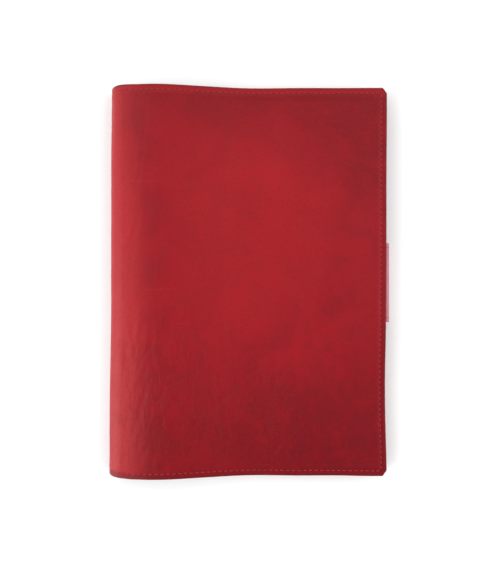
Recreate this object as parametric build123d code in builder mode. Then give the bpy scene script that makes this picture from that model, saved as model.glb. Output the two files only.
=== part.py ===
from build123d import *
import os
from math import copysign, hypot

# Leather cover for an A5 notebook, closed and empty, lying on its back panel.
# Millimetres. +Z is up through the cover, +Y points to the head, and the spine is at -X.
# The origin is under the middle of the whole cover, on the surface that it rests on.

# Whole cover
HEIGHT = 222.0          # head to tail
FORE_X = 78.5           # cut fore-edge of both panels
CORNER_CUT = 2.8        # clipped corners at the fore-edge

# Thicknesses
LEATHER = 1.5
LINING = 0.4
POCKET = 0.9
PLY = 0.5               # one layer of the pen loop's strap
LOOP_SLOT = 0.2         # space left between the two layers of the flattened loop

# The closed section: corners of the outer face before they are rounded, from the front
# panel's fore-edge over the spine to the back panel's fore-edge, as (x, z).
END_X = 100.0           # both ends run past the fore-edge and are cut to it
FRONT_END = (END_X, 9.82)
WAIST = (-1.8, 7.6)
CROWN = (-55.5, 15.9)
SHOULDER = (-78.2, 11.9)
HEEL = (-84.4, 0.0)
BACK_END = (END_X, 0.0)
CORNERS = [FRONT_END, WAIST, CROWN, SHOULDER, HEEL, BACK_END]
RADII = [129.0, 93.0, 11.5, 4.5]

# Folds
FOLD_GAP = 0.3          # clearance between the pieces on the two sides of a fold
FOLD_REACH = 6.0        # how far a fold's cut runs to each side of the outer face

# Pockets
POCKET_MOUTH = -12.0    # free edge of both pockets
HEM = 6.0               # turned edge that holds a pocket off the lining
FRONT_RIM = 0.4         # thickness of the turned edge, front pocket
BACK_RIM = 2 * PLY + LOOP_SLOT

# Stitching
SEAM_INSET = 2.9        # from the cut edges to the middle of the seam
THREAD_WIDTH = 0.8
THREAD_DEPTH = 0.3
HEM_SEAM = 3.0          # from a pocket's mouth to its hem seam

# Pen loop: a strap whose two ends are caught in the back panel's fore-edge seam. The
# flattened loop turns back between the covers, and its bend stands past the fore-edge.
LOOP_WIDTH = 46.0
LOOP_REACH = 3.0        # how far the bend stands past the fore-edge
LOOP_DEPTH = 20.5       # how far the flattened loop lies in from the fore-edge
LOOP_LIFT = 0.24        # clearance under the flattened loop
ROOT_DEPTH = 5.5        # strap ends inside the seam
LOOP_SEAM = 2.5         # from the strap's edge to its edge stitching
LOOP_SIDE_GAP = 0.3     # clearance beside the strap ends in the pocket's turned edge

INSIDE = LEATHER + LINING
FRONT_STACK = INSIDE + FRONT_RIM + POCKET
BACK_STACK = INSIDE + BACK_RIM + POCKET
MIDDLE_Z = 4.4          # a height between the two covers, used to part them
FAR = 40.0              # larger than any height in the model


def unit(start, end):
    """Unit vector between two points of the section."""
    span = (end[0] - start[0], end[1] - start[1])
    length = hypot(*span)
    return span[0] / length, span[1] / length


def corner_normals(index):
    """Inward normals of the straight runs before and after a corner."""
    before = CORNERS[max(index - 1, 0)], CORNERS[max(index, 1)]
    after = CORNERS[min(index, len(CORNERS) - 2)], CORNERS[min(index + 1, len(CORNERS) - 1)]
    return [(-run_z, run_x) for run_x, run_z in (unit(*before), unit(*after))]


def inset_corner(index, depth):
    """A corner of the section, moved in by a depth."""
    (x1, z1), (x2, z2) = corner_normals(index)
    stretch = depth / (1 + x1 * x2 + z1 * z2)
    return CORNERS[index][0] + (x1 + x2) * stretch, CORNERS[index][1] + (z1 + z2) * stretch


def inset_radius(index, depth):
    """Radius of a corner at a depth: smaller where the corner is convex, else larger."""
    (x1, z1), (x2, z2) = corner_normals(index)
    return RADII[index - 1] - copysign(depth, x1 * z2 - z1 * x2)


def fold(index):
    """Axis of the fold at a corner, on the outer face, and its inward direction."""
    radius = RADII[index - 1]
    centre = inset_corner(index, radius)
    inward = unit(CORNERS[index], centre)
    return (centre[0] - inward[0] * radius, centre[1] - inward[1] * radius), inward


def along(point, direction, distance):
    return point[0] + direction[0] * distance, point[1] + direction[1] * distance


BACK_AXIS, BACK_INWARD = fold(CORNERS.index(HEEL))
FRONT_AXIS, FRONT_INWARD = fold(CORNERS.index(SHOULDER))
BACK_CUT = [along(BACK_AXIS, BACK_INWARD, step) for step in (-FOLD_REACH, FOLD_REACH)]
FRONT_CUT = [along(FRONT_AXIS, FRONT_INWARD, step) for step in (-FOLD_REACH, FOLD_REACH)]

# The three bodies of the cover, as areas of the section.
BACK_AREA = [*BACK_CUT, (END_X, MIDDLE_Z), (END_X, -FAR), (BACK_CUT[0][0], -FAR)]
SPINE_AREA = [BACK_CUT[0], BACK_CUT[1], FRONT_CUT[1], FRONT_CUT[0], (-END_X, HEEL[1])]
FRONT_AREA = [*FRONT_CUT, (END_X, MIDDLE_Z), (END_X, FAR), (FRONT_CUT[0][0], FAR)]
FRONT_POCKET_AREA = [
    (POCKET_MOUTH, MIDDLE_Z),
    (END_X, MIDDLE_Z),
    (END_X, FAR),
    (POCKET_MOUTH, FAR),
]


def layer(area, start, stop, gap=0.0, length=HEIGHT, last_x=FORE_X):
    """A layer between two depths below the outer face, over one area of the section."""
    with BuildPart() as sheet:
        with BuildSketch(Plane.XZ):
            with BuildLine():
                edges = []
                for depth in (start, stop):
                    points = [inset_corner(i, depth) for i in range(len(CORNERS))]
                    bends = [inset_radius(i + 1, depth) for i in range(len(RADII))]
                    edges.append(FilletPolyline(*points, radius=bends))
                Line(edges[0] @ 0, edges[1] @ 0)
                Line(edges[0] @ 1, edges[1] @ 1)
            make_face()
            with BuildSketch(mode=Mode.INTERSECT):
                with BuildLine():
                    Polyline(*area, close=True)
                make_face()
                if gap:
                    offset(amount=-gap / 2, kind=Kind.INTERSECTION)
            with Locations((last_x, 0)):
                Rectangle(4 * END_X, 4 * FAR, align=(Align.MAX, Align.CENTER), mode=Mode.INTERSECT)
        extrude(amount=length / 2, both=True)
    return sheet.part


def flat_layer(start, stop, length=HEIGHT, last_x=FORE_X):
    """A layer between two heights over the flat back panel, from the pocket's mouth."""
    with BuildPart() as sheet:
        with BuildSketch(Plane.XY.offset(start)):
            with Locations((POCKET_MOUTH, 0)):
                Rectangle(last_x - POCKET_MOUTH, length, align=(Align.MIN, Align.CENTER))
        extrude(amount=stop - start)
    return sheet.part


def u_seam(bed):
    """Thread along head, fore-edge and tail, let into a face: the bed is its layer."""
    with BuildPart() as thread:
        add(bed)
        with BuildSketch(Plane.XY):
            for grow, mode in ((THREAD_WIDTH / 2, Mode.ADD), (-THREAD_WIDTH / 2, Mode.SUBTRACT)):
                half = HEIGHT / 2 - SEAM_INSET + grow
                with Locations((FORE_X - SEAM_INSET + grow, 0)):
                    Rectangle(3 * END_X, 2 * half, align=(Align.MAX, Align.CENTER), mode=mode)
        extrude(amount=FAR, both=True, mode=Mode.INTERSECT)
    return thread.part


def hem_seam(bed):
    """Thread of a pocket's hem, let into the pocket's inner face."""
    with BuildPart() as thread:
        add(bed)
        with BuildSketch(Plane.XY):
            with Locations((POCKET_MOUTH + HEM_SEAM, 0)):
                Rectangle(THREAD_WIDTH, HEIGHT - 2 * HEM)
        extrude(amount=FAR, both=True, mode=Mode.INTERSECT)
    return thread.part


def sheet_piece(blank, cuts, fore_edge=True):
    """One sheet of the cover: clipped corners at the fore-edge, and beds for its seams."""
    with BuildPart() as sheet:
        add(blank)
        if fore_edge:
            chamfer(sheet.edges().filter_by(Axis.Z).group_by(Axis.X)[-1], CORNER_CUT)
        for cut in cuts:
            add(cut, mode=Mode.SUBTRACT)
    return sheet.part


# Seams
back_outer_seam = u_seam(layer(BACK_AREA, 0.0, THREAD_DEPTH, FOLD_GAP))
spine_outer_seam = u_seam(layer(SPINE_AREA, 0.0, THREAD_DEPTH, FOLD_GAP))
front_outer_seam = u_seam(layer(FRONT_AREA, 0.0, THREAD_DEPTH, FOLD_GAP))
back_bed = flat_layer(BACK_STACK - THREAD_DEPTH, BACK_STACK)
front_bed = layer(FRONT_POCKET_AREA, FRONT_STACK - THREAD_DEPTH, FRONT_STACK)
back_inner_seam = u_seam(back_bed)
front_inner_seam = u_seam(front_bed)
back_hem_seam = hem_seam(back_bed)
front_hem_seam = hem_seam(front_bed)

# Spaces inside the pockets, open at their mouths
SPACE = {"length": HEIGHT - 2 * HEM, "last_x": FORE_X - HEM}
back_space = flat_layer(INSIDE, INSIDE + BACK_RIM, **SPACE)
front_space = layer(FRONT_POCKET_AREA, INSIDE, INSIDE + FRONT_RIM, **SPACE)

# Pen loop, as a section: the strap ends lie in the seam, the flattened loop above the
# pocket, and a half turn joins them past the fore-edge.
STRAP = 2 * PLY + LOOP_SLOT
ROOT_Z = INSIDE + STRAP / 2
LOOP_Z = BACK_STACK + LOOP_LIFT + STRAP / 2
TURN_RADIUS = (LOOP_Z - ROOT_Z) / 2
TURN = (FORE_X + LOOP_REACH - TURN_RADIUS - STRAP / 2, (LOOP_Z + ROOT_Z) / 2)
LOOP_AXIS = (FORE_X + LOOP_REACH, TURN[1])


def strap(inner_x, z, side, thickness):
    """Half of the strap: a straight run and a quarter turn, at a given thickness."""
    with BuildPart() as half:
        with BuildSketch(Plane.XZ):
            with Locations((TURN[0], z)):
                Rectangle(
                    TURN[0] - inner_x, thickness, align=(Align.MAX, Align.CENTER)
                )
            with BuildSketch(mode=Mode.ADD):
                with Locations(TURN):
                    Circle(TURN_RADIUS + thickness / 2)
                    Circle(TURN_RADIUS - thickness / 2, mode=Mode.SUBTRACT)
                with Locations((TURN[0], TURN[1] + side * FOLD_GAP / 2)):
                    Rectangle(
                        FAR,
                        FAR,
                        align=(Align.MIN, Align.MIN if side > 0 else Align.MAX),
                        mode=Mode.INTERSECT,
                    )
        extrude(amount=LOOP_WIDTH / 2, both=True)
    return half.part


with BuildPart() as loop_rows:
    with BuildSketch(Plane.XY.offset(LOOP_Z + STRAP / 2 - THREAD_DEPTH)):
        with Locations((TURN[0], 0)):
            with GridLocations(0, LOOP_WIDTH - 2 * LOOP_SEAM, 1, 2):
                Rectangle(
                    LOOP_DEPTH - LOOP_SEAM, THREAD_WIDTH, align=(Align.MAX, Align.CENTER)
                )
    extrude(amount=THREAD_DEPTH)

with BuildPart() as root_bed:
    with BuildSketch(Plane.XY.offset(INSIDE)):
        with Locations((FORE_X, 0)):
            Rectangle(2 * HEM, LOOP_WIDTH + 2 * LOOP_SIDE_GAP)
    extrude(amount=BACK_RIM)

# Outer leather
with BuildPart() as back_panel:
    add(sheet_piece(layer(BACK_AREA, 0.0, LEATHER, FOLD_GAP), [back_outer_seam]))

with BuildPart() as spine_panel:
    add(sheet_piece(layer(SPINE_AREA, 0.0, LEATHER, FOLD_GAP), [spine_outer_seam], False))

with BuildPart() as front_panel:
    add(sheet_piece(layer(FRONT_AREA, 0.0, LEATHER, FOLD_GAP), [front_outer_seam]))

# Lining
with BuildPart() as back_lining:
    add(sheet_piece(layer(BACK_AREA, LEATHER, INSIDE, FOLD_GAP), []))

with BuildPart() as spine_lining:
    add(sheet_piece(layer(SPINE_AREA, LEATHER, INSIDE, FOLD_GAP), [], False))

with BuildPart() as front_lining:
    add(sheet_piece(layer(FRONT_AREA, LEATHER, INSIDE, FOLD_GAP), []))

# Pockets
with BuildPart() as back_pocket:
    cuts = [back_space, root_bed.part, back_inner_seam, back_hem_seam]
    add(sheet_piece(flat_layer(INSIDE, BACK_STACK), cuts))

with BuildPart() as front_pocket:
    cuts = [front_space, front_inner_seam, front_hem_seam]
    add(sheet_piece(layer(FRONT_POCKET_AREA, INSIDE, FRONT_STACK), cuts))

# Stitching
with BuildPart() as back_stitching:
    add(back_outer_seam)
    add(back_inner_seam)

with BuildPart() as spine_stitching:
    add(spine_outer_seam)

with BuildPart() as front_stitching:
    add(front_outer_seam)
    add(front_inner_seam)

with BuildPart() as back_pocket_hem_stitching:
    add(back_hem_seam)

with BuildPart() as front_pocket_hem_stitching:
    add(front_hem_seam)

# Pen loop
with BuildPart() as pen_loop_root:
    add(strap(FORE_X - ROOT_DEPTH, ROOT_Z, -1, STRAP))

with BuildPart() as pen_loop:
    add(strap(FORE_X - LOOP_DEPTH, LOOP_Z, 1, STRAP))
    add(strap(FORE_X - LOOP_DEPTH + PLY, LOOP_Z, 1, LOOP_SLOT), mode=Mode.SUBTRACT)
    add(loop_rows.part, mode=Mode.SUBTRACT)

with BuildPart() as pen_loop_stitching:
    add(loop_rows.part)

PIECES = {
    "back_panel": back_panel,
    "spine_panel": spine_panel,
    "front_panel": front_panel,
    "back_lining": back_lining,
    "spine_lining": spine_lining,
    "front_lining": front_lining,
    "back_pocket": back_pocket,
    "front_pocket": front_pocket,
    "back_stitching": back_stitching,
    "spine_stitching": spine_stitching,
    "front_stitching": front_stitching,
    "back_pocket_hem_stitching": back_pocket_hem_stitching,
    "front_pocket_hem_stitching": front_pocket_hem_stitching,
    "pen_loop_root": pen_loop_root,
    "pen_loop": pen_loop,
    "pen_loop_stitching": pen_loop_stitching,
}

os.makedirs("parts", exist_ok=True)
for name, piece in PIECES.items():
    piece.part.label = name
    export_step(piece.part, f"parts/{name}.step")

for name, axis in (("back_fold", BACK_AXIS), ("front_fold", FRONT_AXIS), ("loop_fold", LOOP_AXIS)):
    print(f"{name}: axis along Y at x {axis[0]:.3f}, z {axis[1]:.3f}")
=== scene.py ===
import math

import bpy
import numpy as np
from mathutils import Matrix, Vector
from mathutils.geometry import delaunay_2d_cdt


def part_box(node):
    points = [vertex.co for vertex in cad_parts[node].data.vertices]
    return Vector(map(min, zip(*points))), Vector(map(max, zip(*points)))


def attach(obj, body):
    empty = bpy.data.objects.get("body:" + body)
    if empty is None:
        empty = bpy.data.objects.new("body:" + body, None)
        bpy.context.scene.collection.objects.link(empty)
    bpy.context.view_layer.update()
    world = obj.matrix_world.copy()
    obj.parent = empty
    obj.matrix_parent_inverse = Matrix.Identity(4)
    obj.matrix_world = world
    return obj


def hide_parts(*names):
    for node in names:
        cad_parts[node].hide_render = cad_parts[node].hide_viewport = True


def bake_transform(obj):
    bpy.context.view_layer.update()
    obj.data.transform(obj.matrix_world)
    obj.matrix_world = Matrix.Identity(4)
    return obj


# A wrap-around leather notebook cover, closed and empty, lying on its back panel. Sizes are in
# millimetres until a mesh is made, which is in metres. A place on the cover is (s, y, depth): s runs
# round the outer face from the middle of the spine, positive over the front to its fore-edge and
# negative under the back, y runs from tail to head, and depth goes in from the outer face.

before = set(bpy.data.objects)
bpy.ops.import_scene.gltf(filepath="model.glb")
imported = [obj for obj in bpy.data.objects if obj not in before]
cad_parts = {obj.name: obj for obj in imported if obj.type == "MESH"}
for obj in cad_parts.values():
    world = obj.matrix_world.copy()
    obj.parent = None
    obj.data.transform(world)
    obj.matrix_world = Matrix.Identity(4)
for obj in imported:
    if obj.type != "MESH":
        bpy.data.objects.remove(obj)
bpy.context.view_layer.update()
MM = 0.001
SEED = 7

# The closed section, as in the CAD model: corners before rounding, and their radii.
FORE_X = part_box("front_pocket")[1].x / MM
HALF_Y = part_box("front_panel")[1].y / MM
WAIST = (-1.8, 7.6)
CROWN = (-55.5, 15.9)
SHOULDER = (-78.2, 11.9)
HEEL = (-84.4, 0.0)
FRONT_END = (100.0, 9.82)
BACK_END = (100.0, 0.0)
CORNERS = [FRONT_END, WAIST, CROWN, SHOULDER, HEEL, BACK_END]
RADII = [129.0, 93.0, 11.5, 4.5]

# Layers
LEATHER = 1.5
LINING = 0.4
POCKET = 0.9
FRONT_RIM = 0.4
BACK_RIM = 1.2
INSIDE = LEATHER + LINING
FRONT_STACK = INSIDE + FRONT_RIM + POCKET
BACK_STACK = INSIDE + BACK_RIM + POCKET
HEM = 6.0
POCKET_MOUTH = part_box("front_pocket")[0].x / MM

# Edges and seams
CLIP_ALONG_HEAD = 2.4
CLIP_ALONG_FORE = 3.3
CLIP_REACH = 7.0
SEAM_INSET = 3.15
FORE_PITCH = 3.04
HEAD_PITCH = 3.25
THREAD_RADIUS = 0.23
EDGE_ROUND = 0.55

# Pen loop
LOOP_HALF_WIDTH = 23.0
PLY = 0.5
LOOP_SLOT = 0.2
LOOP_SEAM = 2.5
LOOP_SHORT = 0.45
LOOP_OFF_CENTRE = -0.6
STRAP_ROUND = 0.22


# ---- the section


def trace_section(step=0.05):
    """The rounded outline at an even step: places, headings, and the length so far."""
    corners = np.array(CORNERS)
    legs = np.diff(corners, axis=0)
    lengths = np.hypot(legs[:, 0], legs[:, 1])
    headings = np.unwrap(np.arctan2(legs[:, 1], legs[:, 0]))
    turns = np.diff(headings)
    cut = np.array([0, *(r * math.tan(abs(t) / 2) for r, t in zip(RADII, turns)), 0])
    bends = []
    for i, length in enumerate(lengths):
        bends.append((length - cut[i] - cut[i + 1], 0.0))
        if i < len(turns):
            bends.append((RADII[i] * abs(turns[i]), turns[i]))
    ends = np.cumsum([0.0, *(length for length, _ in bends)])
    turned = np.cumsum([headings[0], *(turn for _, turn in bends)])
    at = np.arange(0.0, ends[-1], step)
    heading = np.interp(at, ends, turned)
    middle = (heading[:-1] + heading[1:]) / 2
    x = CORNERS[0][0] + np.concatenate([[0], np.cumsum(np.cos(middle) * step)])
    z = CORNERS[0][1] + np.concatenate([[0], np.cumsum(np.sin(middle) * step)])
    # Half way along the straight run of the spine, between the heel's bend and the shoulder's.
    spine_run = 2 * CORNERS.index(SHOULDER)
    middle_of_spine = (ends[spine_run] + ends[spine_run + 1]) / 2
    return at, x, z, heading, middle_of_spine


TRACE_AT, TRACE_X, TRACE_Z, TRACE_HEADING, SPINE_AT = trace_section()


def section(s):
    """Place and inward normal of the outer face at s, in the closed section."""
    at = SPINE_AT - s
    x = np.interp(at, TRACE_AT, TRACE_X)
    z = np.interp(at, TRACE_AT, TRACE_Z)
    heading = np.interp(at, TRACE_AT, TRACE_HEADING)
    return x, z, -np.sin(heading), np.cos(heading)


def s_at_x(x, front):
    """The s of the front's or the back's outer face at an x to the right of the spine."""
    side = (TRACE_AT < SPINE_AT) if front else (TRACE_AT > SPINE_AT)
    ahead = side & (TRACE_X > CROWN[0])
    order = np.argsort(TRACE_X[ahead])
    return float(np.interp(x, TRACE_X[ahead][order], (SPINE_AT - TRACE_AT[ahead])[order]))


S_FRONT = s_at_x(FORE_X, True)
S_BACK = s_at_x(FORE_X, False)
S_FRONT_MOUTH = s_at_x(POCKET_MOUTH, True)
S_BACK_MOUTH = s_at_x(POCKET_MOUTH, False)


# ---- places on the cover


def smooth(t):
    t = np.clip(t, 0, 1)
    return t * t * (3 - 2 * t)


def rise(value, start, end):
    """0 up to start and 1 from end on, smooth in between; end may lie before start."""
    return smooth((value - start) / (end - start))


def hump(off, width):
    """1 where off is 0, falling away to both sides."""
    return np.exp(-((off / width) ** 2))


def clip_corners(s, y, s_end):
    """Turns a square fore-edge corner into a clipped one, less and less towards the inside."""
    away_s = np.abs(s_end - s)
    away_y = HALF_Y - np.abs(y)
    inset = np.minimum(away_s, away_y)
    scale = np.clip(1 - inset / CLIP_REACH, 0, 1)
    along = away_s - away_y
    near = np.abs(along) < CLIP_REACH
    cut_s, cut_y = CLIP_ALONG_HEAD * scale, CLIP_ALONG_FORE * scale
    slant = np.hypot(cut_s, cut_y)
    total = 2 * CLIP_REACH - cut_s - cut_y + slant
    run = (along + CLIP_REACH) / (2 * CLIP_REACH) * total
    first = CLIP_REACH - cut_y
    share = np.clip((run - first) / np.maximum(slant, 1e-9), 0, 1)
    over = np.maximum(run - first - slant, 0)
    new_s = share * cut_s + over
    new_y = np.maximum(CLIP_REACH - run, cut_y * (1 - share))
    away_s = np.where(near, inset + new_s, away_s)
    away_y = np.where(near, inset + np.maximum(new_y, 0), away_y)
    return s_end - np.sign(s_end) * away_s, np.sign(y) * (HALF_Y - away_y)


# How the cover has settled in use, in millimetres.
SPINE_DRAWN = 0.85
SPINE_DRAWN_AT_HEAD = 0.45
SPINE_SPREAD_AT_TAIL = 1.0
FORE_DRAWN = 0.05
FORE_DRAWN_MIDDLE = 0.35
FORE_DRAWN_WAIST = 0.50
HEAD_STRETCH = 0.22
TAIL_STRETCH = 0.55
SPINE_HEAD_STRETCH = 0.55
SPINE_TAIL_STRETCH = 0.30
CORNER_STRETCH = 0.55
FRONT_LIFT = 0.35
FRONT_WAVE = 0.22
CORNER_SINK = 1.1


def settle(x, y, z, front, lift):
    """The cover's own unevenness, the same for every layer. front and lift are 0 under the back."""
    at_spine = rise(x, -30, -75)
    by_height = SPINE_DRAWN_AT_HEAD * rise(y, 60, 110) - SPINE_SPREAD_AT_TAIL * rise(y, -10, -85)
    x = x + at_spine * (SPINE_DRAWN + by_height)
    drawn_in = FORE_DRAWN + FORE_DRAWN_MIDDLE * rise(y, 105, 50) * (1 - rise(y, -70, -110))
    drawn_in = drawn_in + FORE_DRAWN_WAIST * hump(y + 56, 36)
    x = x - drawn_in * rise(x, 20, 78)
    # Head and tail aren't quite straight: over the middle, over the spine and at the tail's corner.
    middle = front * rise(x, -76, -66) * (1 - rise(x, 25, 57))
    y = y + middle * (HEAD_STRETCH * rise(y, 20, 100) - TAIL_STRETCH * rise(y, -20, -100))
    over_spine = SPINE_HEAD_STRETCH * rise(y, 60, 105) - SPINE_TAIL_STRETCH * rise(y, -60, -105)
    y = y + rise(x, -62, -74) * over_spine
    y = y - CORNER_STRETCH * front * rise(x, 30, 75) * rise(y, -30, -90)
    wave = FRONT_WAVE * np.sin(y / 31.0 + 0.6) * rise(x, 15, 75)
    # A soft crease runs down to the tail: beyond it the fore-edge corner sinks a little.
    past_crease = np.maximum(0.64 * x + 0.77 * y + 44.0, 0.0)
    sink = CORNER_SINK * (1 - np.exp(-past_crease / 22.0)) * rise(x, 22, 52) * rise(y, -30, -66)
    z = z + lift * (wave - sink + FRONT_LIFT)
    return x, y, z


def place(s, y, depth):
    """A place on the settled cover in metres, for arrays of s, y and depth."""
    s, y = np.broadcast_arrays(np.asarray(s, float), np.asarray(y, float))
    s, y = clip_corners(s, y, np.where(s > 0, S_FRONT, S_BACK))
    x, z, inward_x, inward_z = section(s)
    x = x + inward_x * depth
    z = z + inward_z * depth
    x, y, z = settle(x, y, z, rise(s, 0, 20), rise(s, 60, 120))
    return np.stack([x, y, z], axis=-1) * MM


# ---- the leather's relief

rng = np.random.default_rng(SEED)


def scatter_creases(count, s_range, y_range, angle, spread, length, width, depth):
    """Creases as (s, y, angle, half length, half width, depth), scattered over an area. Their
    angle is a normal draw about an angle with a spread, both in degrees."""
    return np.column_stack([
        rng.uniform(*s_range, count),
        rng.uniform(*y_range, count),
        np.radians(rng.normal(angle, spread, count)),
        rng.uniform(*length, count),
        rng.uniform(*width, count),
        rng.uniform(*depth, count),
    ])


# Where the hand that holds the cover has creased it: along the spine in the lower half, slanting
# over the lower middle, and a few long soft ones.
CREASES = np.concatenate([
    scatter_creases(84, (12, 78), (-106, -24), 82, 13, (4, 13), (0.7, 1.6), (0.02, 0.10)),
    scatter_creases(40, (60, 122), (-104, -48), 56, 15, (3, 11), (0.7, 1.5), (0.02, 0.10)),
    scatter_creases(16, (10, 60), (-20, 100), 86, 8, (8, 24), (0.8, 1.8), (0.02, 0.06)),
    scatter_creases(14, (100, 165), (-100, 100), 70, 40, (6, 22), (1.2, 2.6), (0.02, 0.06)),
])

# A crease's wander, in mm, and the ridge on each side of it, as shares of its width and depth.
CREASE_WANDER = 0.9
RIDGE_AWAY = 2.2
RIDGE_WIDTH = 1.6
RIDGE_HEIGHT = 0.45


def crease_depth(s, y, creases):
    """How deep the creases lie: each is a furrow between two low ridges, fading at its ends."""
    total = np.zeros_like(s)
    for at_s, at_y, angle, long, wide, deep in creases:
        ds, dy = s - at_s, y - at_y
        along = ds * math.cos(angle) + dy * math.sin(angle)
        across = dy * math.cos(angle) - ds * math.sin(angle)
        across = across + CREASE_WANDER * np.sin(along / long * 2.2 + at_s)
        furrow = hump(across, wide)
        for away in (RIDGE_AWAY * wide, -RIDGE_AWAY * wide):
            furrow = furrow - RIDGE_HEIGHT * hump(across - away, RIDGE_WIDTH * wide)
        total += deep * np.exp(-((along / long) ** 4)) * furrow
    return total


def ripple(s, y, reach, count, seed):
    """Smooth unevenness between about -1 and 1, with features of about the reach, in mm."""
    draw = np.random.default_rng(seed)
    total = np.zeros_like(s)
    for _ in range(count):
        turn = draw.uniform(0, math.pi)
        size = reach * draw.uniform(0.7, 1.6)
        total += np.sin((s * math.cos(turn) + y * math.sin(turn)) / size * 2 + draw.uniform(0, 6.3))
    return total / math.sqrt(count)


def edge_distance(s, y):
    """Distance to the nearest cut edge: the spine's middle isn't one."""
    end = np.where(s > 0, S_FRONT, -S_BACK)
    return np.minimum(end - np.abs(s), HALF_Y - np.abs(y))


def seam_pitch(length, pitch):
    return length / round(length / pitch)


S_SEAM_FRONT = S_FRONT - SEAM_INSET
S_SEAM_BACK = -S_BACK - SEAM_INSET
Y_SEAM = HALF_Y - SEAM_INSET
PITCH_FRONT = seam_pitch(S_SEAM_FRONT, HEAD_PITCH)
PITCH_BACK = seam_pitch(S_SEAM_BACK, HEAD_PITCH)
PITCH_FORE = seam_pitch(2 * Y_SEAM, FORE_PITCH)

# The seam's groove, in millimetres: its half width, its depth, and how much deeper its holes are.
GROOVE_WIDTH = 0.70
GROOVE_DEPTH = 0.14
HOLE_DEPTH = 0.16
SWELL = 0.10
SWELL_AWAY = 2.1
PRESSED_IN = 0.27
NOT_ON_SEAM = 99.0


def seam_relief(s, y):
    """How far the thread draws the leather in: along the seam, and most at its holes."""
    limit = np.where(s > 0, S_SEAM_FRONT, S_SEAM_BACK)
    pitch = np.where(s > 0, PITCH_FRONT, PITCH_BACK)
    from_head = np.abs(np.abs(y) - Y_SEAM)
    from_fore = np.abs(np.abs(s) - limit)
    on_head = np.where(np.abs(s) <= limit + 0.5, from_head, NOT_ON_SEAM)
    on_fore = np.where(np.abs(y) <= Y_SEAM + 0.5, from_fore, NOT_ON_SEAM)
    head_hole = np.cos(np.pi * np.abs(s) / pitch) ** 6
    fore_hole = np.cos(np.pi * (y + Y_SEAM) / PITCH_FORE) ** 6
    draw = np.maximum(
        hump(on_head, GROOVE_WIDTH) * (GROOVE_DEPTH + HOLE_DEPTH * head_hole),
        hump(on_fore, GROOVE_WIDTH) * (GROOVE_DEPTH + HOLE_DEPTH * fore_hole),
    )
    nearest = np.minimum(on_head, on_fore)
    inside = edge_distance(s, y) > SEAM_INSET
    swell = SWELL * hump(nearest - SWELL_AWAY, 1.3) * inside
    # Under the cover its weight presses the thread in flush.
    pressed = PRESSED_IN * hump(nearest, 0.9) * rise(s, -4, -12)
    return draw + pressed - swell


def edge_roll(distance, radius=EDGE_ROUND):
    """How far a face drops as it rounds over at a cut edge."""
    t = np.clip(1 - distance / radius, 0, 1)
    return radius * (1 - np.sqrt(1 - t * t))


def leather_face(s, y):
    """Depth of the leather's outer face. Under the cover it lies on the table, pressed flat."""
    from_edge = edge_distance(s, y)
    uneven = 0.05 * ripple(s, y, 26, 7, 3) + 0.014 * ripple(s, y, 6, 9, 4)
    wear = crease_depth(s, y, CREASES) if np.all(s >= 0) else 0.0
    relief = seam_relief(s, y) + rise(from_edge, 3.2, 8.2) * (uneven + wear)
    relief = np.where(s < -8, np.maximum(relief, 0.02), relief)
    return relief + edge_roll(from_edge)


def leather_back(s, y):
    """Depth of the leather's flesh side."""
    return np.full_like(s, LEATHER - 0.02)


# ---- meshes


def mesh_object(name, verts, faces, flat=None, material_index=None, sharp=38.0):
    mesh = bpy.data.meshes.new(name)
    mesh.from_pydata(np.asarray(verts).tolist(), [], faces)
    mesh.validate()
    if flat is not None:
        layer = mesh.uv_layers.new(name="flat")
        corner = np.zeros(len(mesh.loops), np.int32)
        mesh.loops.foreach_get("vertex_index", corner)
        layer.data.foreach_set("uv", np.asarray(flat, np.float32)[corner].ravel())
    if material_index is not None:
        mesh.polygons.foreach_set("material_index", np.asarray(material_index, np.int32))
    mesh.shade_smooth()
    mesh.set_sharp_from_angle(angle=math.radians(sharp))
    obj = bpy.data.objects.new(name, mesh)
    bpy.context.scene.collection.objects.link(obj)
    return obj


def rim_of(rows, columns):
    """Indices round the edge of a grid stored row by row, in order."""
    grid = np.arange(rows * columns).reshape(rows, columns)
    return np.concatenate([grid[0, :-1], grid[:-1, -1], grid[-1, :0:-1], grid[:0:-1, 0]])


# The spine bends within this s, so the grids stay fine there on both faces.
NEAR_SPINE = 16.0


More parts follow.
